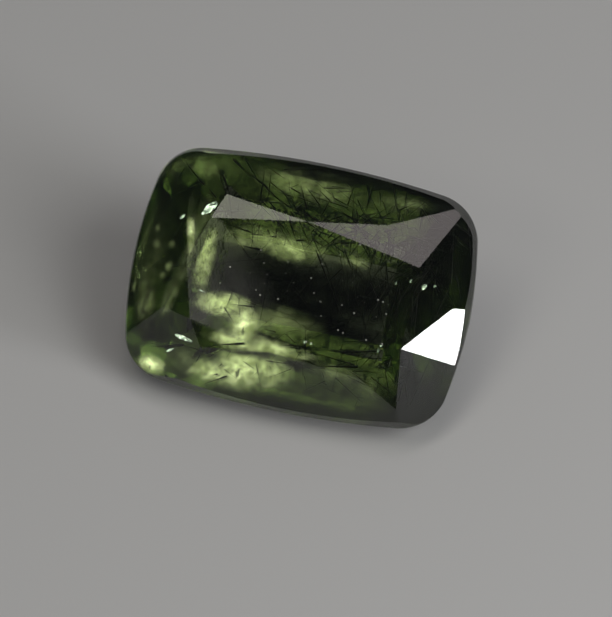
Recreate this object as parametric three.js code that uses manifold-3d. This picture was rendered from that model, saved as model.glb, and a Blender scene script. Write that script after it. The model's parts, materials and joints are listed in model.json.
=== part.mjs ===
// A cushion-cut peridot, lying on one long facet of its pavilion with the table tilted forward.
// Sizes are in millimetres and angles in degrees. The stone is cut in a frame of its own, with the
// middle of the girdle at the origin, its long axis along X and the table facing +Z, and is then
// turned to rest on the ground plane, with the origin under the middle of the stone.
import * as THREE from "three";
import { mergeVertices } from "three/addons/utils/BufferGeometryUtils.js";
import Module from "manifold-3d";

const wasm = await Module();
wasm.setup();

// Outline of the girdle: four shallow arcs for the sides, joined by four tight ones at the corners.
const length = 12.1;
const width = 8.85;
const sideBow = 34;
const endBow = 14;
const cornerRadius = 1.7;
const arcSteps = 12;

// Heights over the middle of the girdle, whose wall is upright below it and leans in above it.
const tableHeight = 1.75;
const girdleHeight = 0.25;
const girdleLean = 0.34;

// Rows of the pavilion from the girdle down: the angle of each to the girdle plane, the run that
// it covers, and the azimuths of its facets from +X. The last row runs on to the keel.
const pavilionRows = [
  {
    angle: 62,
    run: 0.75,
    azimuths: [-7, 7, 34, 62, 87, 93, 118, 146, 173, 187, 214, 242, 267, 273, 298, 326],
  },
  { angle: 46, run: 1.0, azimuths: [0, 47, 90, 133, 180, 227, 270, 313] },
  { angle: 40, run: 1.3, azimuths: [0, 47, 90, 133, 180, 227, 270, 313] },
  { angle: 28, run: 1.4, azimuths: [0, 47, 90, 133, 180, 227, 270, 313] },
];

// The stone lies on the long facet of the last row but one that faces -Y.
const restingAngle = pavilionRows.at(-2).angle;

// Points where facets of the crown meet, placed by eye as on a hand-cut stone: the corners of the
// table, the tips of the star facets below them, and points on the girdle.
const meets = {
  tableNorth: [0.02, 2.24, tableHeight],
  tableNorthEast: [4.18, 1.44, tableHeight],
  tableSouthEast: [4.12, -1.45, tableHeight],
  tableSouth: [-0.32, -2.48, tableHeight],
  tableSouthWest: [-3.34, -1.89, tableHeight],
  tableWest: [-3.89, 0.13, tableHeight],
  tableNorthWest: [-3.35, 1.71, tableHeight],
  starNorthWest: [-3.0, 2.63, 1.55],
  starNorthEast: [2.74, 2.68, 1.39],
  starEast: [5.5, 0.31, 0.8],
  starSouthEast: [2.86, -2.74, 1.49],
  starSouthWest: [-2.81, -2.78, 1.57],
  starWestSouth: [-4.42, -1.66, 1.38],
  starWestNorth: [-4.42, 1.55, 1.38],
  girdleNorthEast: [4.95, 3.8, 0.58],
  girdleEastNorth: [5.95, 1.6, 0.25],
  girdleEastSouth: [5.79, -1.59, 0.25],
  girdleSouthEast: [5.4, -3.56, -0.12],
  girdleSouth: [4.99, -3.87, 0.57],
  girdleWestSouth: [-5.9, -2.3, 0.15],
  girdleWest: [-6.05, -0.15, 0.22],
  girdleWestNorth: [-5.95, 2.2, 0.11],
};

// Facets of the crown, each through three of those points: stars, mains, and the two facets that
// break the corners of the west end.
const crownFacets = [
  ["tableNorthWest", "tableNorth", "starNorthWest"],
  ["tableNorth", "tableNorthEast", "starNorthEast"],
  ["tableNorthEast", "tableSouthEast", "starEast"],
  ["tableSouthEast", "tableSouth", "starSouthEast"],
  ["tableSouth", "tableSouthWest", "starSouthWest"],
  ["tableSouthWest", "tableWest", "starWestSouth"],
  ["tableWest", "tableNorthWest", "starWestNorth"],
  ["tableNorth", "starNorthWest", "starNorthEast"],
  ["tableNorthEast", "starNorthEast", "girdleNorthEast"],
  ["tableNorthEast", "starEast", "girdleEastNorth"],
  ["tableSouthEast", "starEast", "girdleEastSouth"],
  ["tableSouthEast", "girdleEastSouth", "girdleSouthEast"],
  ["tableSouthEast", "starSouthEast", "girdleSouth"],
  ["tableSouth", "starSouthWest", "starSouthEast"],
  ["tableSouthWest", "starWestSouth", "starSouthWest"],
  ["tableWest", "starWestNorth", "starWestSouth"],
  ["tableNorthWest", "starWestNorth", "starNorthWest"],
  ["starWestNorth", "girdleWestNorth", "girdleWest"],
  ["starWestSouth", "girdleWestSouth", "girdleWest"],
];

// The laps that grind the facets are blocks far larger than the stone. Corners closer together
// than the polish count as one.
const lapSize = 60;
const polish = 0.001;

const up = new THREE.Vector3(0, 0, 1);

// Points along an arc, without its last one.
function arc(centre, radius, from, to) {
  return Array.from({ length: arcSteps }, (_, step) => {
    const angle = from + ((to - from) * step) / arcSteps;
    return new THREE.Vector2(Math.cos(angle), Math.sin(angle)).multiplyScalar(radius).add(centre);
  });
}

// The point where two circles meet, on the right of the line from the first centre to the second.
function circlesMeet(a, radiusA, b, radiusB) {
  const apart = a.distanceTo(b);
  const along = (radiusA ** 2 - radiusB ** 2 + apart ** 2) / (2 * apart);
  const across = Math.sqrt(radiusA ** 2 - along ** 2);
  const line = b.clone().sub(a).normalize();
  const square = new THREE.Vector2(line.y, -line.x);
  return a.clone().addScaledVector(line, along).addScaledVector(square, across);
}

// The girdle seen from above, counterclockwise: each corner arc touches the arcs beside it.
function girdleOutline() {
  const side = new THREE.Vector2(0, width / 2 - sideBow);
  const end = new THREE.Vector2(length / 2 - endBow, 0);
  const corner = circlesMeet(side, sideBow - cornerRadius, end, endBow - cornerRadius);
  const sideTurn = Math.PI / 2 - corner.clone().sub(side).angle();
  const endTurn = corner.clone().sub(end).angle();
  const points = [];
  for (const [turn, flip] of [[0, 1], [Math.PI, -1]]) {
    points.push(
      ...arc(end.clone().multiplyScalar(flip), endBow, turn - endTurn, turn + endTurn),
      ...arc(
        corner.clone().multiplyScalar(flip),
        cornerRadius,
        turn + endTurn,
        turn + Math.PI / 2 - sideTurn,
      ),
      ...arc(
        side.clone().multiplyScalar(flip),
        sideBow,
        turn + Math.PI / 2 - sideTurn,
        turn + Math.PI / 2 + sideTurn,
      ),
      ...arc(
        new THREE.Vector2(-corner.x, corner.y).multiplyScalar(flip),
        cornerRadius,
        turn + Math.PI / 2 + sideTurn,
        turn + Math.PI - endTurn,
      ),
    );
  }
  return points;
}

// A closed mesh as a solid that can be cut.
function solid(geometry) {
  geometry.deleteAttribute("normal");
  geometry.deleteAttribute("uv");
  const merged = mergeVertices(geometry);
  return new wasm.Manifold(
    new wasm.Mesh({
      numProp: 3,
      vertProperties: new Float32Array(merged.attributes.position.array),
      triVerts: new Uint32Array(merged.index.array),
      tolerance: polish,
    }),
  );
}

// The blank that the facets are ground on: upright up to the middle of the girdle, then leaning in.
function blank(outline, depth) {
  const geometry = new THREE.ExtrudeGeometry(new THREE.Shape(outline), {
    depth,
    bevelThickness: tableHeight,
    bevelSize: tableHeight * girdleLean,
    bevelOffset: -tableHeight * girdleLean,
    bevelSegments: 1,
  });
  return solid(geometry.translate(0, 0, -depth));
}

// What is left of a stone when everything outside a plane is ground away.
function grind(stone, point, outward) {
  const lap = new THREE.BoxGeometry(lapSize, lapSize, lapSize);
  lap.translate(0, 0, lapSize / 2);
  lap.applyQuaternion(new THREE.Quaternion().setFromUnitVectors(up, outward));
  lap.translate(point.x, point.y, point.z);
  return stone.subtract(solid(lap));
}

function grindCrown(stone) {
  let cut = grind(stone, new THREE.Vector3(0, 0, tableHeight), up);
  for (const names of crownFacets) {
    const [a, b, c] = names.map((name) => new THREE.Vector3(...meets[name]));
    const outward = b.clone().sub(a).cross(c.clone().sub(a)).normalize();
    if (outward.z < 0) outward.negate();
    cut = grind(cut, a, outward);
  }
  return cut;
}

// Each facet of a row starts where the one above it ends, at the same run in from the outline.
function grindPavilion(stone, outline) {
  let cut = stone;
  let run = 0;
  let height = -girdleHeight;
  for (const row of pavilionRows) {
    const angle = THREE.MathUtils.degToRad(row.angle);
    for (const azimuth of row.azimuths) {
      const turn = THREE.MathUtils.degToRad(azimuth);
      const across = new THREE.Vector2(Math.cos(turn), Math.sin(turn));
      const reach = Math.max(...outline.map((point) => point.dot(across))) - run;
      const outward = new THREE.Vector3(
        Math.sin(angle) * across.x,
        Math.sin(angle) * across.y,
        -Math.cos(angle),
      );
      cut = grind(cut, new THREE.Vector3(reach * across.x, reach * across.y, height), outward);
    }
    run += row.run;
    height -= row.run * Math.tan(angle);
  }
  return cut;
}

function bufferGeometry(cut) {
  const { vertProperties, triVerts } = cut.getMesh();
  return new THREE.BufferGeometry()
    .setAttribute("position", new THREE.BufferAttribute(vertProperties, 3))
    .setIndex(new THREE.BufferAttribute(triVerts, 1));
}

// Turned so that its resting facet is level, and set down with the ground plane under it.
function restOnFacet(geometry) {
  geometry.rotateX(THREE.MathUtils.degToRad(restingAngle));
  geometry.computeBoundingBox();
  const { min, max } = geometry.boundingBox;
  return geometry.translate(-(min.x + max.x) / 2, -(min.y + max.y) / 2, -min.z);
}

const outline = girdleOutline();
const stone = grindPavilion(grindCrown(blank(outline, lapSize / 2)), outline);

const peridot = new THREE.Mesh(
  restOnFacet(bufferGeometry(stone)),
  new THREE.MeshStandardMaterial({ color: 0x5c7a1e, roughness: 0.04, metalness: 0 }),
);
peridot.name = "peridot";

const gem = new THREE.Group();
gem.add(peridot);

export default gem;
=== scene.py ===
# Cushion-cut peridot with black needles inside, lying on a pale floor. Metres, +Z up.
import json
import math
import random

import bpy
from mathutils import Matrix, Quaternion, Vector


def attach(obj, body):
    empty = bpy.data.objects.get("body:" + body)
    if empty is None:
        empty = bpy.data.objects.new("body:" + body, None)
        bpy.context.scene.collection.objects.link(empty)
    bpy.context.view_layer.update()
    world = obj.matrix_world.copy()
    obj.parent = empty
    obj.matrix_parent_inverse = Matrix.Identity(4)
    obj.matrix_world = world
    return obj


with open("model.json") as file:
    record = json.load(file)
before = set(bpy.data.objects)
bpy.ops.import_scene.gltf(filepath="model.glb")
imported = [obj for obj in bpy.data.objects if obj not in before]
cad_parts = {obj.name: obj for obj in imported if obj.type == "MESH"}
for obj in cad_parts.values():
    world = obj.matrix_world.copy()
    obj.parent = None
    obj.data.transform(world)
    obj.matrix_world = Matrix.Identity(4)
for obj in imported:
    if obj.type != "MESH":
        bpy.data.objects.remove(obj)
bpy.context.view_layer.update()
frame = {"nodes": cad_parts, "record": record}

scene = bpy.context.scene
stone = frame["nodes"]["peridot"]
mm = 0.001

# The stone's own axes: X along it, up through its table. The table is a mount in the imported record.
table = next(mount for mount in frame["record"]["mounts"] if mount["name"] == "table")
stoneUp = Vector(table["axis"]).normalized()
stoneX = Vector((1, 0, 0))
stoneY = stoneUp.cross(stoneX)
tableHeight = 1.75 * mm  # over the middle of the girdle
stoneSpots = [vertex.co for vertex in stone.data.vertices]
acrossStone = [spot.dot(stoneY) for spot in stoneSpots]
girdleMiddle = (
    (Vector(table["pos_m"]).dot(stoneUp) - tableHeight) * stoneUp
    + (min(acrossStone) + max(acrossStone)) / 2 * stoneY
)

# Where the camera stands round the stone, in degrees and metres, and how wide its picture is there.
cameraView = {
    "azimuth": 11.71,
    "elevation": 47.7,
    "roll": 2.86,
    "distance": 200 * mm,
    "pictureWidth": 21.47 * mm,
    "aimRight": 0.193 * mm,
    "aimDown": 0.737 * mm,
    "sensorWidth": 36,
}
pictureSize = (612, 617)


# The way out to an azimuth, counted from the front towards +X, and an elevation.
def towards(azimuth, elevation):
    turn = math.radians(azimuth)
    rise = math.radians(elevation)
    return Vector((math.sin(turn) * math.cos(rise), -math.cos(turn) * math.cos(rise), math.sin(rise)))


def addCamera(view):
    back = towards(view["azimuth"], view["elevation"])
    look = (-back).to_track_quat("-Z", "Y") @ Quaternion((0, 0, 1), math.radians(view["roll"]))
    right = look @ Vector((1, 0, 0))
    up = look @ Vector((0, 1, 0))
    aim = girdleMiddle + view["distance"] * back + view["aimRight"] * right - view["aimDown"] * up
    bpy.ops.object.camera_add(location=aim)
    camera = bpy.context.object
    camera.name = "camera"
    camera.rotation_mode = "QUATERNION"
    camera.rotation_quaternion = look
    camera.data.sensor_fit = "HORIZONTAL"
    camera.data.sensor_width = view["sensorWidth"]
    camera.data.lens = camera.data.sensor_width * view["distance"] / view["pictureWidth"]
    camera.data.clip_start = 1 * mm
    camera.data.clip_end = 5
    scene.camera = camera
    return camera


camera = addCamera(cameraView)
print("camera placed")

# Studio: a pale floor, a dim sky and soft cards, each at an azimuth, elevation and distance from
# the stone. Their brightness is that of the card's own face.
floorLook = {"side": 1.2, "airGap": 0.02 * mm, "colour": (0.74, 0.74, 0.75), "roughness": 0.8}
sky = {"colour": (0.8, 0.85, 1.0), "strength": 0.045}
cards = {
    "overhead": {"azimuth": 175, "elevation": 87, "distance": 0.35, "size": (0.09, 0.12),
                 "brightness": 1.6, "colour": (1.0, 0.9, 0.9)},
    "front high": {"azimuth": -31, "elevation": 68, "distance": 0.35, "size": (0.095, 0.15),
                   "brightness": 2.3, "colour": (1.0, 0.97, 0.85)},
    "front": {"azimuth": -21, "elevation": 43, "distance": 0.3, "size": (0.095, 0.052),
              "brightness": 2.0, "colour": (1.0, 0.98, 0.85)},
    "front right": {"azimuth": 24, "elevation": 43, "distance": 0.3, "size": (0.14, 0.16),
                    "brightness": 0.35, "colour": (1.0, 0.98, 0.85)},
    "high right": {"azimuth": 65, "elevation": 46, "distance": 0.3, "size": (0.16, 0.16),
                   "brightness": 2.5, "colour": (1.0, 1.0, 0.95)},
    "low right": {"azimuth": 74, "elevation": 8.5, "distance": 0.12, "size": (0.03, 0.027),
                  "brightness": 25, "colour": (1.0, 1.0, 1.0)},
}


def addFloor(look):
    bpy.ops.mesh.primitive_plane_add(size=look["side"], location=(0, 0, -look["airGap"]))
    floor = bpy.context.object
    floor.name = "floor"
    material = bpy.data.materials.new("pale floor")
    material.use_nodes = True
    shader = material.node_tree.nodes["Principled BSDF"]
    shader.inputs["Base Color"].default_value = (*look["colour"], 1)
    shader.inputs["Roughness"].default_value = look["roughness"]
    floor.data.materials.append(material)


def addCard(name, look):
    way = towards(look["azimuth"], look["elevation"])
    bpy.ops.object.light_add(type="AREA", location=girdleMiddle + way * look["distance"])
    card = bpy.context.object
    card.name = name
    card.rotation_mode = "QUATERNION"
    card.rotation_quaternion = (-way).to_track_quat("-Z", "Y")
    card.data.shape = "RECTANGLE"
    card.data.size, card.data.size_y = look["size"]
    card.data.energy = look["brightness"] * math.pi * look["size"][0] * look["size"][1]
    card.data.color = look["colour"]
    card.visible_camera = False


def addSky(look):
    scene.world = bpy.data.worlds.new("studio")
    scene.world.use_nodes = True
    background = scene.world.node_tree.nodes["Background"]
    background.inputs["Color"].default_value = (*look["colour"], 1)
    background.inputs["Strength"].default_value = look["strength"]


addFloor(floorLook)
addSky(sky)
for name, look in cards.items():
    addCard(name, look)
print("studio ready")


# A node with some of its sockets filled, each by a value or by the socket that feeds it.
def addNode(tree, kind, fill, **settings):
    node = tree.nodes.new(kind)
    for name, value in settings.items():
        setattr(node, name, value)
    for socket, value in fill.items():
        if isinstance(value, bpy.types.NodeSocket):
            tree.links.new(value, node.inputs[socket])
        else:
            node.inputs[socket].default_value = value
    return node


def newMaterial(name):
    material = bpy.data.materials.new(name)
    material.use_nodes = True
    return material, material.node_tree, material.node_tree.nodes["Principled BSDF"]


mottleLook = {"detail": 3, "darkest": 0.35, "lightest": 0.65}


# Soft blotches from 0 to 1, with so many to the metre.
def mottleGroup(look):
    group = bpy.data.node_groups.new("mottle", "ShaderNodeTree")
    group.interface.new_socket("Blotches", in_out="INPUT", socket_type="NodeSocketFloat")
    group.interface.new_socket("Mask", in_out="OUTPUT", socket_type="NodeSocketFloat")
    start = addNode(group, "NodeGroupInput", {})
    place = addNode(group, "ShaderNodeTexCoord", {})
    noise = addNode(group, "ShaderNodeTexNoise", {
        "Vector": place.outputs["Object"],
        "Scale": start.outputs["Blotches"],
        "Detail": look["detail"],
    })
    spread = addNode(group, "ShaderNodeMapRange", {
        "Value": noise.outputs["Fac"], "From Min": look["darkest"], "From Max": look["lightest"],
    })
    addNode(group, "NodeGroupOutput", {"Mask": spread.outputs["Result"]})
    return group


mottle = mottleGroup(mottleLook)


# The mask of the mottle group, placed in a material.
def mottled(tree, blotches):
    placed = addNode(tree, "ShaderNodeGroup", {}, node_tree=mottle)
    placed.inputs["Blotches"].default_value = blotches
    return placed.outputs["Mask"]


# A colour between two, by a mask. The sockets for colours share their names with others, so they
# are picked by their places.
def blendColours(tree, mask, first, second):
    mix = addNode(tree, "ShaderNodeMix", {
        "Factor": mask, 6: (*first, 1), 7: (*second, 1),
    }, data_type="RGBA")
    return mix.outputs[2]


# The crystal: clear olive-green glass in the stone's own mesh. The crown has a fine polish, the
# pavilion a coarser and slightly wavy one, and the girdle is left as it was ground. A greasy film
# lies on the corner of the table nearest the front left. Heights and the film's corner are in
# millimetres from the middle of the girdle.
crystal = {
    "ior": 1.67,
    "absorbs": (0.525, 0.6125, 0.325),
    "absorption": 400,
    "crownRoughness": 0.02,
    "pavilionRoughness": 0.1,
    "pavilionTop": -0.2,
    "pavilionBlend": 0.1 * mm,
    "waves": 2200,
    "waveHeight": 0.012 * mm,
    "girdleRoughness": 0.22,
    "girdleFacing": 0.1,
    "girdleFacingSpread": 0.32,
    "filmCorner": (-3.34, -1.89, 1.75),
    "filmReach": 3.2 * mm,
    "filmDepth": 0.02 * mm,
    "filmWeight": 0.9,
    "filmRoughness": 0.28,
    "filmIor": 2.0,
    "filmBlotches": 1500,
    "filmThinnest": 0.5,
}


def stonePoint(x, y, z):
    return girdleMiddle + mm * (x * stoneX + y * stoneY + z * stoneUp)


def crystalMaterial(look):
    material, tree, shader = newMaterial("peridot crystal")
    shader.inputs["Base Color"].default_value = (1, 1, 1, 1)
    shader.inputs["Transmission Weight"].default_value = 1
    shader.inputs["IOR"].default_value = look["ior"]
    shader.inputs["Coat Roughness"].default_value = look["filmRoughness"]
    shader.inputs["Coat IOR"].default_value = look["filmIor"]
    volume = addNode(tree, "ShaderNodeVolumeAbsorption", {
        "Color": (*look["absorbs"], 1), "Density": look["absorption"],
    })
    tree.links.new(volume.outputs["Volume"], tree.nodes["Material Output"].inputs["Volume"])

    place = addNode(tree, "ShaderNodeTexCoord", {})
    height = addNode(tree, "ShaderNodeVectorMath", {
        0: place.outputs["Object"], 1: stoneUp,
    }, operation="DOT_PRODUCT").outputs["Value"]
    facing = addNode(tree, "ShaderNodeVectorMath", {
        0: place.outputs["Normal"], 1: stoneUp,
    }, operation="DOT_PRODUCT").outputs["Value"]
    pavilionTop = stonePoint(0, 0, look["pavilionTop"]).dot(stoneUp)
    onPavilion = addNode(tree, "ShaderNodeMapRange", {
        "Value": height, "From Min": pavilionTop, "From Max": pavilionTop - look["pavilionBlend"],
    }).outputs["Result"]
    polish = addNode(tree, "ShaderNodeMapRange", {
        "Value": onPavilion, "To Min": look["crownRoughness"], "To Max": look["pavilionRoughness"],
    }).outputs["Result"]
    onGirdle = addNode(tree, "ShaderNodeMath", {
        0: facing, 1: look["girdleFacing"], 2: look["girdleFacingSpread"],
    }, operation="COMPARE").outputs["Value"]
    roughness = addNode(tree, "ShaderNodeMix", {
        "Factor": onGirdle, "A": polish, "B": look["girdleRoughness"],
    })
    tree.links.new(roughness.outputs["Result"], shader.inputs["Roughness"])

    corner = stonePoint(*look["filmCorner"])
    fromCorner = addNode(tree, "ShaderNodeVectorMath", {
        0: place.outputs["Object"], 1: corner,
    }, operation="DISTANCE").outputs["Value"]
    film = addNode(tree, "ShaderNodeMapRange", {
        "Value": fromCorner,
        "From Max": look["filmReach"],
        "To Min": look["filmWeight"],
        "To Max": 0,
    }).outputs["Result"]
    onTable = addNode(tree, "ShaderNodeMath", {
        0: height, 1: corner.dot(stoneUp) - look["filmDepth"],
    }, operation="GREATER_THAN").outputs["Value"]
    filmOnTable = addNode(tree, "ShaderNodeMath", {0: film, 1: onTable}, operation="MULTIPLY")
    blotchy = addNode(tree, "ShaderNodeMapRange", {
        "Value": mottled(tree, look["filmBlotches"]), "To Min": look["filmThinnest"],
    }).outputs["Result"]
    smear = addNode(tree, "ShaderNodeMath", {
        0: filmOnTable.outputs["Value"], 1: blotchy,
    }, operation="MULTIPLY")
    tree.links.new(smear.outputs["Value"], shader.inputs["Coat Weight"])

    waves = addNode(tree, "ShaderNodeMath", {
        0: mottled(tree, look["waves"]), 1: onPavilion,
    }, operation="MULTIPLY").outputs["Value"]
    bump = addNode(tree, "ShaderNodeBump", {"Height": waves, "Distance": look["waveHeight"]})
    tree.links.new(bump.outputs["Normal"], shader.inputs["Normal"])
    return material


stone.data.materials.clear()
stone.data.materials.append(crystalMaterial(crystal))
print("crystal finished")


# The way that a ray takes inside the stone once it has come in through a facet.
def bent(ray, facing):
    slant = -ray.dot(facing)
    bend = 1 / crystal["ior"]
    return bend * ray + (bend * slant - math.sqrt(1 - bend**2 * (1 - slant**2))) * facing


# What the camera sees at a pixel of its picture: the point of the stone's surface, the way that
# it faces, and the way on from there inside the stone.
def lookInto(pixel):
    across = (pixel[0] - pictureSize[0] / 2) / pictureSize[0] * cameraView["pictureWidth"]
    down = (pixel[1] - pictureSize[1] / 2) / pictureSize[0] * cameraView["pictureWidth"]
    ray = Vector((across, -down, -cameraView["distance"])).normalized()
    ray.rotate(camera.rotation_quaternion)
    hit, spot, facing, face = stone.ray_cast(camera.location, ray)
    return spot, facing, bent(ray, facing)


# How far under the surface a ray starts, the share of the way through the stone that nothing is
# laid beyond, and how far needles and flakes stay under the surface.
rayStart = 0.01 * mm
deepest = 0.85
needleMargin = 0.05 * mm
flakeMargin = 0.04 * mm


# The point seen at a pixel at a depth in millimetres, cut short before the far side.
def seenInside(pixel, depth):
    spot, facing, ray = lookInto(pixel)
    hit, farSide, facing, face = stone.ray_cast(spot + rayStart * ray, ray)
    return spot + min(depth * mm, deepest * (farSide - spot).length) * ray


# Black needles in the crystal. Those with a name are where the picture shows them: each has a
# thick head and a tip, by the pixels where they are seen, and their depths and radius in
# millimetres. The swarms are given in the stone's own millimetres.
needleLook = {
    "colour": (0.004, 0.005, 0.004),
    "worn": (0.012, 0.011, 0.006),
    "blotches": 9000,
    "roughness": (0.35, 0.6),
    "sides": 6,
    "headRadius": 0.75,
    "headLength": 0.04,
    "steps": ((0.12, 1.3), (0.2, 0.75), (0.3, 0.55), (0.34, 0.2)),
    "seed": 7,
}
needlesSeen = {
    "north nail": {"head": (223, 175), "tip": (230, 199), "depth": (0.4, 0.5), "radius": 0.05},
    "north nail thread": {"head": (229, 196), "tip": (235, 243), "depth": (0.5, 1.2), "radius": 0.016},
    "north bar": {"head": (233, 159), "tip": (251, 177), "depth": (0.4, 0.4), "radius": 0.05},
    "north bar tip": {"head": (268, 188), "tip": (250, 174), "depth": (0.4, 0.4), "radius": 0.04},
    "north rod 1": {"head": (262, 184), "tip": (286, 206), "depth": (0.3, 0.5), "radius": 0.03},
    "north rod 2": {"head": (270, 182), "tip": (292, 199), "depth": (0.5, 0.4), "radius": 0.022},
    "north rod 3": {"head": (281, 190), "tip": (300, 212), "depth": (0.6, 0.4), "radius": 0.02},
    "north rod 4": {"head": (300, 193), "tip": (284, 184), "depth": (0.3, 0.4), "radius": 0.028},
    "north rod 5": {"head": (302, 215), "tip": (284, 209), "depth": (0.4, 0.5), "radius": 0.028},
    "north rod 6": {"head": (298, 197), "tip": (322, 206), "depth": (0.5, 0.4), "radius": 0.02},
    "north rod 7": {"head": (324, 188), "tip": (356, 189), "depth": (0.5, 0.5), "radius": 0.03},
    "north rod 8": {"head": (327, 205), "tip": (346, 212), "depth": (0.4, 0.6), "radius": 0.018},
    "north rod 9": {"head": (312, 220), "tip": (296, 200), "depth": (0.4, 0.6), "radius": 0.016},
    "east rod 1": {"head": (358, 200), "tip": (367, 222), "depth": (0.3, 0.4), "radius": 0.026},
    "east rod 2": {"head": (371, 187), "tip": (364, 220), "depth": (0.6, 0.4), "radius": 0.024},
    "east rod 3": {"head": (393, 184), "tip": (399, 221), "depth": (0.5, 0.5), "radius": 0.03},
    "east rod 4": {"head": (397, 202), "tip": (387, 223), "depth": (0.4, 0.4), "radius": 0.018},
    "east rod 5": {"head": (383, 201), "tip": (388, 217), "depth": (0.3, 0.3), "radius": 0.028},
    "east rod 6": {"head": (352, 188), "tip": (356, 222), "depth": (0.6, 0.5), "radius": 0.018},
    "east rod 7": {"head": (407, 192), "tip": (403, 219), "depth": (0.5, 0.5), "radius": 0.018},
    "table blade": {"head": (262, 250), "tip": (243, 246), "depth": (0.6, 0.7), "radius": 0.045},
    "table dash 1": {"head": (277, 237), "tip": (268, 236), "depth": (0.5, 0.5), "radius": 0.03},
    "table dash 2": {"head": (263, 235), "tip": (246, 234), "depth": (0.6, 0.6), "radius": 0.022},
    "table dash 3": {"head": (252, 226), "tip": (253, 248), "depth": (0.6, 0.8), "radius": 0.018},
    "table dash 4": {"head": (258, 229), "tip": (249, 243), "depth": (0.8, 0.6), "radius": 0.016},
    "table dash 5": {"head": (326, 234), "tip": (312, 229), "depth": (0.3, 0.3), "radius": 0.03},
    "table dash 6": {"head": (356, 243), "tip": (326, 243), "depth": (0.3, 0.5), "radius": 0.034},
    "table dash 7": {"head": (345, 253), "tip": (331, 243), "depth": (0.4, 0.5), "radius": 0.026},
    "table thread 1": {"head": (312, 236), "tip": (330, 275), "depth": (0.6, 1.4), "radius": 0.018},
    "table thread 2": {"head": (318, 232), "tip": (302, 255), "depth": (0.6, 1.0), "radius": 0.018},
    "table thread 3": {"head": (341, 236), "tip": (345, 268), "depth": (0.5, 1.0), "radius": 0.018},
    "table thread 4": {"head": (300, 236), "tip": (308, 262), "depth": (0.7, 1.2), "radius": 0.014},
    "table thread 5": {"head": (287, 236), "tip": (281, 256), "depth": (0.7, 1.2), "radius": 0.012},
    "table thread 6": {"head": (352, 262), "tip": (356, 300), "depth": (0.8, 1.8), "radius": 0.014},
    "table thread 7": {"head": (372, 262), "tip": (366, 292), "depth": (0.8, 1.6), "radius": 0.014},
    "window thread 1": {"head": (316, 250), "tip": (348, 332), "depth": (0.8, 2.2), "radius": 0.03},
    "window thread 2": {"head": (268, 262), "tip": (292, 280), "depth": (0.9, 1.4), "radius": 0.014},
    "window thread 3": {"head": (325, 262), "tip": (338, 300), "depth": (0.8, 1.6), "radius": 0.018},
    "window thread 4": {"head": (398, 285), "tip": (384, 340), "depth": (0.8, 1.8), "radius": 0.03},
    "window thread 5": {"head": (386, 262), "tip": (392, 322), "depth": (0.7, 1.8), "radius": 0.024},
    "west thread 1": {"head": (234, 288), "tip": (222, 318), "depth": (0.7, 0.8), "radius": 0.016},
    "west thread 2": {"head": (224, 307), "tip": (243, 337), "depth": (0.8, 0.5), "radius": 0.018},
    "west spike": {"head": (254, 307), "tip": (230, 304), "depth": (0.5, 0.7), "radius": 0.034},
    "west thread 3": {"head": (254, 307), "tip": (249, 330), "depth": (0.6, 0.9), "radius": 0.014},
    "west thread 4": {"head": (243, 316), "tip": (229, 308), "depth": (0.6, 0.7), "radius": 0.018},
    "south blade 1": {"head": (184, 345), "tip": (150, 347), "depth": (0.3, 0.5), "radius": 0.055},
    "south blade 2": {"head": (244, 343), "tip": (214, 348), "depth": (0.3, 0.5), "radius": 0.034},
    "south blade 3": {"head": (206, 352), "tip": (186, 346), "depth": (0.4, 0.4), "radius": 0.03},
    "south blade 4": {"head": (227, 376), "tip": (204, 384), "depth": (0.3, 0.3), "radius": 0.034},
    "south blade 5": {"head": (165, 375), "tip": (176, 383), "depth": (0.2, 0.2), "radius": 0.045},
    "south blade 6": {"head": (218, 374), "tip": (213, 375), "depth": (0.3, 0.3), "radius": 0.034},
    "south blade 7": {"head": (222, 364), "tip": (218, 367), "depth": (0.3, 0.3), "radius": 0.034},
    "south spike 1": {"head": (358, 367), "tip": (318, 366), "depth": (0.3, 0.5), "radius": 0.05},
    "south spike 2": {"head": (354, 365), "tip": (315, 353), "depth": (0.3, 0.5), "radius": 0.034},
    "south spike 3": {"head": (377, 351), "tip": (340, 353), "depth": (0.3, 0.4), "radius": 0.026},
    "south spike 4": {"head": (364, 341), "tip": (344, 342), "depth": (0.3, 0.5), "radius": 0.028},
    "south spike 5": {"head": (276, 332), "tip": (264, 329), "depth": (0.4, 0.5), "radius": 0.026},
    "south spike 6": {"head": (300, 346), "tip": (278, 345), "depth": (0.3, 0.5), "radius": 0.03},
    "south thread 1": {"head": (243, 361), "tip": (262, 374), "depth": (0.4, 0.6), "radius": 0.014},
    "south thread 2": {"head": (256, 364), "tip": (262, 392), "depth": (0.4, 0.6), "radius": 0.014},
    "south thread 3": {"head": (291, 369), "tip": (268, 378), "depth": (0.4, 0.6), "radius": 0.014},
    "south thread 4": {"head": (224, 369), "tip": (246, 386), "depth": (0.4, 0.6), "radius": 0.014},
    "south thread 5": {"head": (325, 381), "tip": (299, 393), "depth": (0.4, 0.4), "radius": 0.018},
    "south thread 6": {"head": (352, 371), "tip": (386, 372), "depth": (0.4, 0.4), "radius": 0.02},
    "south thread 7": {"head": (385, 371), "tip": (391, 402), "depth": (0.4, 0.4), "radius": 0.018},
    "south thread 8": {"head": (398, 370), "tip": (392, 400), "depth": (0.4, 0.4), "radius": 0.016},
    "south thread 9": {"head": (410, 374), "tip": (384, 396), "depth": (0.4, 0.4), "radius": 0.016},
}
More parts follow.
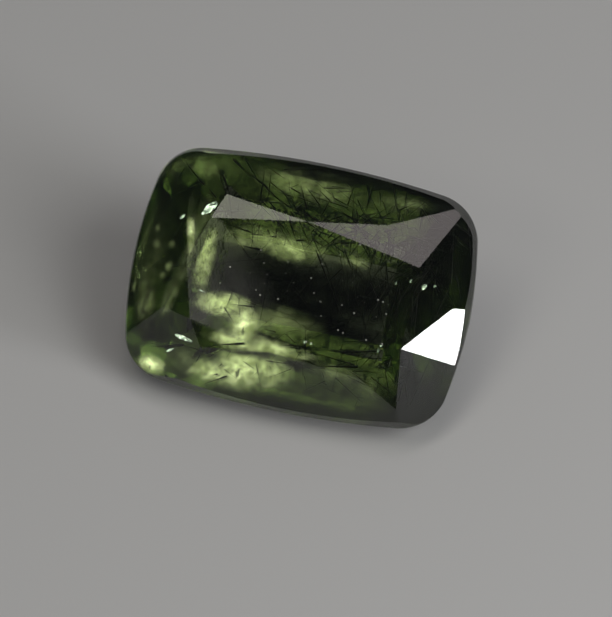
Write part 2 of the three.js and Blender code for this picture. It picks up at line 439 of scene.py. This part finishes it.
swarms = {
    "north": {"count": 130, "middle": (0.8, 2.3, 0.2), "spread": (2.3, 0.8, 0.6),
              "lean": (0.75, -0.55, -0.2), "stray": 0.7, "length": (0.4, 2.0), "radius": (0.01, 0.034)},
    "north-east": {"count": 60, "middle": (2.6, 2.3, 0.4), "spread": (0.9, 0.6, 0.4),
                   "lean": (0.2, 0.9, 0.1), "stray": 0.5, "length": (0.4, 1.5), "radius": (0.012, 0.034)},
    "south": {"count": 60, "middle": (1.2, -2.2, 0.1), "spread": (2.2, 0.8, 0.6),
              "lean": (0.8, 0.3, 0.2), "stray": 0.8, "length": (0.4, 1.8), "radius": (0.008, 0.022)},
    "middle": {"count": 50, "middle": (0.8, 0.2, -0.6), "spread": (2.6, 1.6, 0.9),
               "lean": (0.2, 0.9, 0.1), "stray": 0.6, "length": (0.8, 3.0), "radius": (0.007, 0.018)},
    "east": {"count": 60, "middle": (3.6, 0.4, -0.3), "spread": (1.2, 1.9, 0.8),
             "lean": (0.1, 0.9, 0.3), "stray": 0.5, "length": (0.6, 2.4), "radius": (0.01, 0.026)},
    "west": {"count": 25, "middle": (-3.2, 0.0, -0.4), "spread": (1.4, 2.0, 0.8),
             "lean": (0.6, 0.5, 0.2), "stray": 1.0, "length": (0.4, 1.4), "radius": (0.006, 0.016)},
}


def selectOnly(thing):
    bpy.ops.object.select_all(action="DESELECT")
    thing.select_set(True)
    bpy.context.view_layer.objects.active = thing


def selectTopFace(thing):
    bpy.ops.mesh.select_all(action="DESELECT")
    bpy.ops.object.mode_set(mode="OBJECT")
    top = max(thing.data.polygons, key=lambda face: face.center.z)
    top.select = True
    bpy.ops.object.mode_set(mode="EDIT")


# One needle, a unit long and about a unit in radius: a blunt head that narrows to a fine tip. Each
# step takes it further on and makes it wider or narrower.
def makeNeedle(look):
    bpy.ops.object.select_all(action="DESELECT")
    bpy.ops.mesh.primitive_cylinder_add(
        vertices=look["sides"],
        radius=look["headRadius"],
        depth=look["headLength"],
        location=(0, 0, look["headLength"] / 2),
    )
    needle = bpy.context.object
    bpy.ops.object.transform_apply(location=True, rotation=False, scale=False)
    bpy.ops.object.mode_set(mode="EDIT")
    bpy.ops.mesh.select_mode(type="FACE")
    for rise, widen in look["steps"]:
        selectTopFace(needle)
        bpy.ops.mesh.extrude_region_move(TRANSFORM_OT_translate={"value": (0, 0, rise)})
        bpy.ops.transform.resize(value=(widen, widen, 1))
    bpy.ops.object.mode_set(mode="OBJECT")
    return needle


# A copy of the needle from its head to its tip.
def layNeedle(needle, head, tip, radius):
    copy = needle.copy()
    copy.data = needle.data.copy()
    along = tip - head
    turn = along.to_track_quat("Z", "Y").to_matrix().to_4x4()
    size = Matrix.Diagonal((radius, radius, along.length, 1))
    copy.data.transform(Matrix.Translation(head) @ turn @ size)
    bpy.context.collection.objects.link(copy)
    return copy


def joined(things, name):
    selectOnly(things[0])
    for thing in things:
        thing.select_set(True)
    bpy.ops.object.join()
    piece = bpy.context.object
    piece.name = name
    piece.data.name = name
    return piece


# The planes of the stone's facets: the way that each faces and its distance from the origin.
# Faces that look the same way to so many decimals are one facet.
sameWay = 4
facets = {
    tuple(round(part, sameWay) for part in face.normal): (
        face.normal.copy(), face.normal.dot(face.center),
    )
    for face in stone.data.polygons
}.values()


def isInside(spot, margin):
    return all(facing.dot(spot) < reach - margin for facing, reach in facets)


# A spot drawn in towards a centre until it is inside the stone.
def drawnInside(spot, centre, margin):
    share = 1
    for facing, reach in facets:
        rise = facing.dot(spot - centre)
        if rise > 0:
            share = min(share, (reach - margin - facing.dot(centre)) / rise)
    return centre + max(0, share) * (spot - centre)


def swarmNeedles(needle, swarm, chance):
    copies = []
    lean = Vector(swarm["lean"]).normalized()
    while len(copies) < swarm["count"]:
        around = zip(swarm["middle"], swarm["spread"])
        head = stonePoint(*(chance.gauss(middle, spread) for middle, spread in around))
        stray = Vector([chance.gauss(0, swarm["stray"]) for _ in range(3)])
        way = (lean + stray).normalized() * chance.choice((-1, 1))
        length = chance.uniform(*swarm["length"]) * mm
        tip = head + length * (way.x * stoneX + way.y * stoneY + way.z * stoneUp)
        radius = chance.uniform(*swarm["radius"]) * mm
        if isInside(head, needleMargin) and isInside(tip, needleMargin):
            copies.append(layNeedle(needle, head, tip, radius))
    return copies


def needleMaterial(look):
    material, tree, shader = newMaterial("needle black")
    grown = mottled(tree, look["blotches"])
    colour = blendColours(tree, grown, look["colour"], look["worn"])
    tree.links.new(colour, shader.inputs["Base Color"])
    roughness = addNode(tree, "ShaderNodeMapRange", {
        "Value": grown, "To Min": look["roughness"][0], "To Max": look["roughness"][1],
    })
    tree.links.new(roughness.outputs["Result"], shader.inputs["Roughness"])
    return material


chance = random.Random(needleLook["seed"])
needle = makeNeedle(needleLook)
copies = []
for needleSeen in needlesSeen.values():
    head = seenInside(needleSeen["head"], needleSeen["depth"][0])
    tip = seenInside(needleSeen["tip"], needleSeen["depth"][1])
    copies.append(layNeedle(needle, head, tip, needleSeen["radius"] * mm))
for swarm in swarms.values():
    copies += swarmNeedles(needle, swarm, chance)
bpy.data.objects.remove(needle)
needles = joined(copies, "needles")
needles.data.materials.append(needleMaterial(needleLook))
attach(needles, "root")
swarmCount = len(copies) - len(needlesSeen)
print("needles laid:", len(needlesSeen), "seen,", swarmCount, "in swarms")

# Glints: thin bright mirror flakes in the crystal, where the picture shows them. Some are small cracks
# that catch the light. Others are painted reflections, put inside for flashes off the facets and the
# girdle. Each has the pixel where it is seen and its depth and half sizes in millimetres, and is turned
# in the picture by degrees. It mirrors the high front card to the camera, less so the more degrees it is
# tilted off.
glintLook = {
    "colour": (0.8, 0.97, 0.85),
    "edge": (0.3, 0.42, 0.33),
    "blotches": 6000,
    "roughness": (0.12, 0.25),
    "sides": 9,
    "thickness": 0.12,
    "topSize": 0.8,
    "ragged": 0.22,
    "flatten": 0.3,
    "seed": 3,
}
glintsSeen = {
    # The star flash and its tail are painted reflections off the facets.
    "star flash": {"pixel": (210, 208), "depth": 0.3, "size": (0.28, 0.16), "turn": 40, "tilt": 0},
    "star flash tail": {"pixel": (204, 213), "depth": 0.3, "size": (0.1, 0.06), "turn": 20, "tilt": 0},
    "west fleck": {"pixel": (183, 216), "depth": 0.3, "size": (0.1, 0.04), "turn": 35, "tilt": 0},
    "streak 1": {"pixel": (183, 338), "depth": 0.3, "size": (0.34, 0.08), "turn": -18, "tilt": 0},
    "streak 2": {"pixel": (170, 350), "depth": 0.3, "size": (0.17, 0.04), "turn": 20, "tilt": 0},
    # The girdle flash is a painted reflection off the girdle.
    "girdle flash": {"pixel": (166, 164), "depth": 0.25, "size": (0.2, 0.06), "turn": 50, "tilt": 2},
    "girdle fleck": {"pixel": (152, 188), "depth": 0.2, "size": (0.07, 0.05), "turn": 60, "tilt": 2},
    "east spark": {"pixel": (424, 287), "depth": 0.5, "size": (0.11, 0.08), "turn": 60, "tilt": 0},
    "east spark 2": {"pixel": (411, 281), "depth": 0.5, "size": (0.07, 0.03), "turn": 70, "tilt": 2},
    "east spark 3": {"pixel": (435, 286), "depth": 0.5, "size": (0.05, 0.04), "turn": 0, "tilt": 2},
    "east spark 4": {"pixel": (396, 283), "depth": 0.5, "size": (0.06, 0.03), "turn": 80, "tilt": 3},
    "south spark 1": {"pixel": (378, 351), "depth": 0.3, "size": (0.05, 0.03), "turn": 80, "tilt": 1},
    "south spark 2": {"pixel": (381, 346), "depth": 0.3, "size": (0.04, 0.03), "turn": 10, "tilt": 1},
    "south spark 3": {"pixel": (305, 342), "depth": 0.3, "size": (0.06, 0.04), "turn": 30, "tilt": 2},
    "south spark 4": {"pixel": (311, 344), "depth": 0.3, "size": (0.04, 0.03), "turn": 0, "tilt": 2},
    "table fleck": {"pixel": (202, 291), "depth": 0.05, "size": (0.1, 0.01), "turn": -25, "tilt": 2},
}


# One flake, a unit in radius and facing up, with a ragged rim.
def makeFlake(look):
    bpy.ops.object.select_all(action="DESELECT")
    bpy.ops.mesh.primitive_cylinder_add(vertices=look["sides"], radius=1, depth=look["thickness"])
    flake = bpy.context.object
    bpy.ops.object.mode_set(mode="EDIT")
    bpy.ops.mesh.select_mode(type="FACE")
    selectTopFace(flake)
    bpy.ops.transform.resize(value=(look["topSize"], look["topSize"], 1))
    bpy.ops.mesh.select_all(action="SELECT")
    bpy.ops.transform.vertex_random(offset=look["ragged"], uniform=0, normal=0, seed=look["seed"])
    bpy.ops.transform.resize(value=(1, 1, look["flatten"]))
    bpy.ops.object.mode_set(mode="OBJECT")
    return flake


# A copy of a flake or film where the picture shows one. The lamp is the way to what it mirrors.
def layFlake(flake, flakeSeen, lamp):
    spot, facing, ray = lookInto(flakeSeen["pixel"])
    lit = -bent(-lamp, facing)
    mirror = (lit - ray).normalized()
    along = camera.rotation_quaternion @ Vector((1, 0, 0))
    along.rotate(Quaternion(-ray, math.radians(flakeSeen["turn"])))
    along = (along - along.dot(mirror) * mirror).normalized()
    mirror.rotate(Quaternion(along, math.radians(flakeSeen["tilt"])))
    across = mirror.cross(along)
    centre = seenInside(flakeSeen["pixel"], flakeSeen["depth"])
    turn = Matrix((along, across, mirror)).transposed().to_4x4()
    long, wide = flakeSeen["size"]
    size = Matrix.Diagonal((long * mm, wide * mm, wide * mm, 1))
    copy = flake.copy()
    copy.data = flake.data.copy()
    copy.data.transform(Matrix.Translation(centre) @ turn @ size)
    for vertex in copy.data.vertices:
        vertex.co = drawnInside(vertex.co, centre, flakeMargin)
    bpy.context.collection.objects.link(copy)
    return copy


# A bright mirror for the glints. Where they stand for facet flashes, it makes painted reflections.
def glintMaterial(look):
    material, tree, shader = newMaterial("glint mirror flake")
    shader.inputs["Metallic"].default_value = 1
    clouded = mottled(tree, look["blotches"])
    colour = blendColours(tree, clouded, look["colour"], look["edge"])
    tree.links.new(colour, shader.inputs["Base Color"])
    roughness = addNode(tree, "ShaderNodeMapRange", {
        "Value": clouded, "To Min": look["roughness"][0], "To Max": look["roughness"][1],
    })
    tree.links.new(roughness.outputs["Result"], shader.inputs["Roughness"])
    return material


flake = makeFlake(glintLook)
lamp = towards(cards["front high"]["azimuth"], cards["front high"]["elevation"])
copies = [layFlake(flake, glintSeen, lamp) for glintSeen in glintsSeen.values()]
bpy.data.objects.remove(flake)
glints = joined(copies, "glints")
glints.data.materials.append(glintMaterial(glintLook))
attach(glints, "root")
print("glints laid:", len(glintsSeen))

# How finely the mesh of a film is made: parts round it and rings.
filmSegments = 24
filmRings = 12

# Veils: pale mirror films in the crystal that show as soft pale patches. Some are cloudy films and
# bubbles in the stone. Others are painted highlights, laid where light reflected inside the stone or off
# its rim shows as bright bands and flashes. They are laid as the glints are, and cover what lies behind
# them by the share given, less so towards their rims.
veilAndHighlightLook = {
    "colour": (0.8, 0.93, 0.54),
    "cloud": (0.4, 0.5, 0.22),
    "blotches": 3000,
    "thin": 0.6,
    "fade": 1.7,
    "roughness": 0.16,
    "thickness": 0.03,
    "ragged": 0.12,
    "seed": 9,
}
veilsAndHighlightsSeen = {
    "south bright": {"pixel": (241, 367), "depth": 0.6, "size": (1.2, 1.1), "turn": -15, "tilt": 0,
                     "cover": 1},
    "south mottled": {"pixel": (264, 370), "depth": 0.8, "size": (1.3, 1.0), "turn": -15, "tilt": 1,
                      "cover": 0.6},
    "south pale": {"pixel": (209, 371), "depth": 0.7, "size": (1.9, 0.65), "turn": -20, "tilt": 1,
                   "cover": 0.6},
    "south strip": {"pixel": (262, 346), "depth": 0.7, "size": (2.4, 0.4), "turn": -14, "tilt": 1,
                    "cover": 0.6},
    "south right": {"pixel": (370, 388), "depth": 0.8, "size": (1.0, 0.8), "turn": 60, "tilt": 2,
                    "cover": 0.09},
    "south middle": {"pixel": (335, 374), "depth": 0.8, "size": (1.5, 0.6), "turn": -10, "tilt": 2,
                     "cover": 0.1},
    "low patch 1": {"pixel": (223, 304), "depth": 0.9, "size": (1.2, 0.55), "turn": -6, "tilt": 0,
                    "cover": 1},
    "west slant": {"pixel": (173, 289), "depth": 0.4, "size": (2.5, 0.34), "turn": 63, "tilt": 1,
                   "cover": 0.13},
    "low patch 2": {"pixel": (244, 325), "depth": 0.45, "size": (0.7, 0.85), "turn": 0, "tilt": 0,
                    "cover": 1},
    "low patch 3": {"pixel": (239, 340), "depth": 0.5, "size": (1.2, 0.42), "turn": -8, "tilt": 0,
                    "cover": 1},
    "low cloud": {"pixel": (272, 322), "depth": 1.2, "size": (2.2, 0.8), "turn": -12, "tilt": 3,
                  "cover": 0.22},
    "west band": {"pixel": (205, 250), "depth": 1.1, "size": (2.0, 0.55), "turn": 84, "tilt": 0,
                  "cover": 0.55},
    "west edge": {"pixel": (191, 232), "depth": 0.3, "size": (1.5, 0.22), "turn": 92, "tilt": 1,
                  "cover": 0.4},
    # The top bands are painted highlights: light that the pavilion reflects back up.
    "top band 1": {"pixel": (292, 249), "depth": 1.5, "size": (1.7, 0.6), "turn": -12, "tilt": 1,
                   "cover": 0.42},
    "top band 2": {"pixel": (355, 262), "depth": 1.2, "size": (1.0, 0.36), "turn": -12, "tilt": 1,
                   "cover": 0.16},
    "top band 3": {"pixel": (254, 238), "depth": 1.2, "size": (1.5, 0.55), "turn": -5, "tilt": 2,
                   "cover": 0.3},
    "north clump 1": {"pixel": (322, 190), "depth": 1.2, "size": (1.9, 0.9), "turn": -12, "tilt": 2,
                      "cover": 0.17},
    "north clump 2": {"pixel": (286, 182), "depth": 1.2, "size": (1.4, 0.8), "turn": -20, "tilt": 3,
                      "cover": 0.16},
    "north west": {"pixel": (212, 167), "depth": 1.1, "size": (1.5, 0.6), "turn": -12, "tilt": 2,
                   "cover": 0.1},
    "north west corner": {"pixel": (178, 163), "depth": 0.9, "size": (1.1, 0.6), "turn": 35, "tilt": 2,
                          "cover": 0.05},
    "north east": {"pixel": (403, 205), "depth": 0.8, "size": (1.5, 0.5), "turn": -4, "tilt": 2,
                   "cover": 0.1},
    "west glow": {"pixel": (151, 268), "depth": 1.0, "size": (3.2, 1.1), "turn": 78, "tilt": 2,
                  "cover": 0.035},
    "west column": {"pixel": (143, 300), "depth": 0.8, "size": (1.6, 0.5), "turn": 82, "tilt": 2,
                    "cover": 0.07},
    "spot 1": {"pixel": (157, 228), "depth": 0.9, "size": (0.31, 0.21), "turn": 0, "tilt": 2,
               "cover": 0.12},
    "spot 2": {"pixel": (157, 244), "depth": 0.9, "size": (0.26, 0.23), "turn": 0, "tilt": 2,
               "cover": 0.1},
    "spot 3": {"pixel": (172, 244), "depth": 0.9, "size": (0.26, 0.21), "turn": 0, "tilt": 2,
               "cover": 0.12},
    "spot 4": {"pixel": (169, 266), "depth": 0.9, "size": (0.29, 0.26), "turn": 30, "tilt": 2,
               "cover": 0.16},
    "spot 5": {"pixel": (163, 275), "depth": 0.9, "size": (0.22, 0.2), "turn": 0, "tilt": 2,
               "cover": 0.1},
    "spot 6": {"pixel": (134, 287), "depth": 0.9, "size": (0.33, 0.27), "turn": 0, "tilt": 2,
               "cover": 0.14},
    "spot 7": {"pixel": (142, 288), "depth": 0.9, "size": (0.33, 0.3), "turn": 0, "tilt": 2,
               "cover": 0.18},
    "spot 8": {"pixel": (152, 294), "depth": 0.9, "size": (0.31, 0.21), "turn": 60, "tilt": 2,
               "cover": 0.16},
    "spot 9": {"pixel": (150, 305), "depth": 0.9, "size": (0.42, 0.34), "turn": 80, "tilt": 2,
               "cover": 0.2},
    # The rims and the corner flash are painted highlights on the edge of the stone.
    "rim 1": {"pixel": (206, 152), "depth": 0.3, "size": (1.1, 0.2), "turn": -3, "tilt": 1,
              "cover": 0.2},
    "rim 2": {"pixel": (166, 165), "depth": 0.3, "size": (0.7, 0.2), "turn": 52, "tilt": 1,
              "cover": 0.5},
    "corner flash": {"pixel": (151, 364), "depth": 0.4, "size": (0.7, 0.5), "turn": -10, "tilt": 0,
                     "cover": 1},
}


# One film, a unit in radius and facing up: a thin lens with an uneven rim, which fades outwards
# as fast as the look says.
def makeFilm(look):
    bpy.ops.object.select_all(action="DESELECT")
    bpy.ops.mesh.primitive_uv_sphere_add(segments=filmSegments, ring_count=filmRings, radius=1)
    film = bpy.context.object
    cover = film.data.attributes.new("cover", "FLOAT", "POINT")
    for vertex, value in zip(film.data.vertices, cover.data):
        value.value = max(0, 1 - math.hypot(vertex.co.x, vertex.co.y)) ** look["fade"]
    bpy.ops.object.mode_set(mode="EDIT")
    bpy.ops.mesh.select_all(action="SELECT")
    bpy.ops.transform.vertex_random(offset=look["ragged"], uniform=0, normal=0, seed=look["seed"])
    bpy.ops.transform.resize(value=(1, 1, look["thickness"]))
    bpy.ops.object.mode_set(mode="OBJECT")
    return film


def layFilm(film, filmSeen, lamp):
    copy = layFlake(film, filmSeen, lamp)
    for value in copy.data.attributes["cover"].data:
        value.value *= filmSeen["cover"]
    return copy


# How much of what lies behind it a film hides: what is laid in its mesh, less where it is thin.
def softCover(tree, clouded, thinnest):
    cover = addNode(tree, "ShaderNodeAttribute", {}, attribute_name="cover").outputs["Fac"]
    thin = addNode(tree, "ShaderNodeMapRange", {"Value": clouded, "To Min": 1, "To Max": thinnest})
    alpha = addNode(tree, "ShaderNodeMath", {
        0: cover, 1: thin.outputs["Result"],
    }, operation="MULTIPLY")
    return alpha.outputs["Value"]


# Pale green mirror for the veils: cloudy film where they are inclusions, painted highlight where they
# stand for reflected light.
def veilAndHighlightMaterial(look):
    material, tree, shader = newMaterial("cloudy film and painted highlight")
    shader.inputs["Metallic"].default_value = 1
    shader.inputs["Roughness"].default_value = look["roughness"]
    clouded = mottled(tree, look["blotches"])
    colour = blendColours(tree, clouded, look["colour"], look["cloud"])
    tree.links.new(colour, shader.inputs["Base Color"])
    tree.links.new(softCover(tree, clouded, look["thin"]), shader.inputs["Alpha"])
    return material


# Dark clouds of painted shade: near-black films laid where the stone looks dark in the light it stands
# in, over the window, the east end, the rims and the corners. They are laid as the veils are, deeper
# down.
shadeFilmLook = {
    "colour": (0.004, 0.007, 0.003),
    "fringe": (0.012, 0.02, 0.006),
    "blotches": 1800,
    "thin": 0.65,
    "fade": 0.7,
    "roughness": 0.7,
    "thickness": 0.03,
    "ragged": 0.12,
    "seed": 21,
}
shadeFilmsSeen = {
    "east": {"pixel": (445, 270), "depth": 2.0, "size": (2.2, 1.1), "turn": 80, "tilt": 0,
             "cover": 0.9},
    "north east": {"pixel": (460, 222), "depth": 1.0, "size": (1.6, 0.68), "turn": -60, "tilt": 0,
                   "cover": 0.9},
    "south east 1": {"pixel": (412, 402), "depth": 1.3, "size": (1.7, 0.94), "turn": 25, "tilt": 0,
                     "cover": 0.95},
    "south east 2": {"pixel": (444, 368), "depth": 1.3, "size": (1.2, 0.85), "turn": 60, "tilt": 0,
                     "cover": 0.95},
    "window right": {"pixel": (380, 300), "depth": 2.2, "size": (2.4, 1.53), "turn": -10, "tilt": 0,
                     "cover": 1},
    "window": {"pixel": (300, 284), "depth": 2.4, "size": (3.1, 1.1), "turn": -9, "tilt": 0,
               "cover": 0.9},
    "window low": {"pixel": (322, 306), "depth": 2.0, "size": (2.2, 0.68), "turn": -9, "tilt": 0,
                   "cover": 0.8},
    "low middle": {"pixel": (352, 337), "depth": 1.6, "size": (1.9, 0.42), "turn": -9, "tilt": 0,
                   "cover": 0.75},
    "north rim": {"pixel": (345, 170), "depth": 0.9, "size": (3.4, 0.38), "turn": -13, "tilt": 0,
                  "cover": 0.9},
    "north east rim": {"pixel": (440, 200), "depth": 0.9, "size": (1.4, 0.42), "turn": -28, "tilt": 0,
                       "cover": 0.85},
    "south rim": {"pixel": (300, 408), "depth": 0.9, "size": (3.6, 0.42), "turn": -10, "tilt": 0,
                  "cover": 0.95},
    "south middle": {"pixel": (335, 385), "depth": 1.6, "size": (2.4, 0.85), "turn": -10, "tilt": 0,
                     "cover": 0.7},
    "south west": {"pixel": (160, 335), "depth": 1.2, "size": (1.1, 0.77), "turn": -20, "tilt": 0,
                   "cover": 0.6},
    "north west": {"pixel": (172, 170), "depth": 1.0, "size": (0.9, 0.77), "turn": 40, "tilt": 0,
                   "cover": 0.45},
}


# Near-black painted shade, a little greener in blotches.
def shadeFilmMaterial(look):
    material, tree, shader = newMaterial("painted shade film")
    shader.inputs["Roughness"].default_value = look["roughness"]
    clouded = mottled(tree, look["blotches"])
    colour = blendColours(tree, clouded, look["colour"], look["fringe"])
    tree.links.new(colour, shader.inputs["Base Color"])
    tree.links.new(softCover(tree, clouded, look["thin"]), shader.inputs["Alpha"])
    return material


# One piece of all the films of a kind.
def addFilms(name, filmsSeen, look, material):
    film = makeFilm(look)
    piece = joined([layFilm(film, filmSeen, lamp) for filmSeen in filmsSeen.values()], name)
    bpy.ops.object.shade_smooth()
    piece.data.materials.append(material)
    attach(piece, "root")
    bpy.data.objects.remove(film)
    print(name, "laid:", len(filmsSeen))
    return piece


# The veils, partly painted highlights.
addFilms("veilsAndHighlights", veilsAndHighlightsSeen, veilAndHighlightLook, veilAndHighlightMaterial(veilAndHighlightLook))
# The films of painted shade, as one piece.
paintedShade = addFilms("paintedShade", shadeFilmsSeen, shadeFilmLook, shadeFilmMaterial(shadeFilmLook))

# Dust on the table, where the picture shows it: the pixel and the radius in millimetres of each
# speck. Some finer specks lie between them, within a rectangle of the picture.
dustLook = {
    "colour": (0.55, 0.55, 0.5),
    "shade": (0.3, 0.3, 0.27),
    "blotches": 20000,
    "roughness": 0.85,
    "lumps": 0.25,
    "lumpSeed": 5,
    "sunk": 0.3,
    "turns": (0, 6),
}
fineDust = {"count": 40, "from": (228, 245), "to": (392, 335), "radius": (0.006, 0.014), "seed": 12}
dustSeen = [
    ((230, 267), 0.03), ((264, 263), 0.02), ((288, 262), 0.018), ((311, 278), 0.026),
    ((260, 295), 0.028), ((256, 290), 0.022), ((278, 299), 0.028), ((314, 293), 0.022),
    ((322, 264), 0.024), ((261, 250), 0.026), ((321, 302), 0.02), ((342, 305), 0.022),
    ((354, 313), 0.03), ((378, 300), 0.032), ((383, 302), 0.03), ((386, 314), 0.028),
    ((366, 340), 0.028), ((321, 316), 0.022), ((338, 330), 0.026), ((343, 333), 0.028),
    ((306, 342), 0.034), ((311, 343), 0.03), ((382, 344), 0.034), ((360, 245), 0.026),
    ((394, 254), 0.03), ((220, 283), 0.022), ((362, 262), 0.022), ((340, 255), 0.02),
]


# One speck, a unit in radius: a lumpy grain.
def makeSpeck(look):
    bpy.ops.object.select_all(action="DESELECT")
    bpy.ops.mesh.primitive_ico_sphere_add(subdivisions=2, radius=1)
    speck = bpy.context.object
    bpy.ops.object.mode_set(mode="EDIT")
    bpy.ops.transform.vertex_random(offset=look["lumps"], uniform=0, normal=0, seed=look["lumpSeed"])
    bpy.ops.object.mode_set(mode="OBJECT")
    return speck


def laySpeck(speck, pixel, radius, turn):
    spot, facing, ray = lookInto(pixel)
    copy = speck.copy()
    copy.data = speck.data.copy()
    place = Matrix.Translation(spot + radius * (1 - dustLook["sunk"]) * facing)
    copy.data.transform(place @ Matrix.Rotation(turn, 4, facing) @ Matrix.Scale(radius, 4))
    bpy.context.collection.objects.link(copy)
    return copy


def dustMaterial(look):
    material, tree, shader = newMaterial("dust")
    colour = blendColours(tree, mottled(tree, look["blotches"]), look["colour"], look["shade"])
    tree.links.new(colour, shader.inputs["Base Color"])
    shader.inputs["Roughness"].default_value = look["roughness"]
    return material


speck = makeSpeck(dustLook)
chance = random.Random(fineDust["seed"])
copies = [
    laySpeck(speck, pixel, radius * mm, chance.uniform(*dustLook["turns"]))
    for pixel, radius in dustSeen
]
for _ in range(fineDust["count"]):
    pixel = [chance.uniform(*span) for span in zip(fineDust["from"], fineDust["to"])]
    radius = chance.uniform(*fineDust["radius"]) * mm
    copies.append(laySpeck(speck, pixel, radius, chance.uniform(*dustLook["turns"])))
bpy.data.objects.remove(speck)
dust = joined(copies, "dust")
dust.data.materials.append(dustMaterial(dustLook))
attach(dust, "root")
print("dust laid:", len(copies), "specks")

# Light crosses the stone many times before it leaves.
scene.cycles.max_bounces = 32
scene.cycles.transmission_bounces = 32
scene.cycles.glossy_bounces = 16
scene.cycles.diffuse_bounces = 4
scene.cycles.caustics_refractive = False
scene.cycles.caustics_reflective = False
scene.view_settings.view_transform = "Standard"
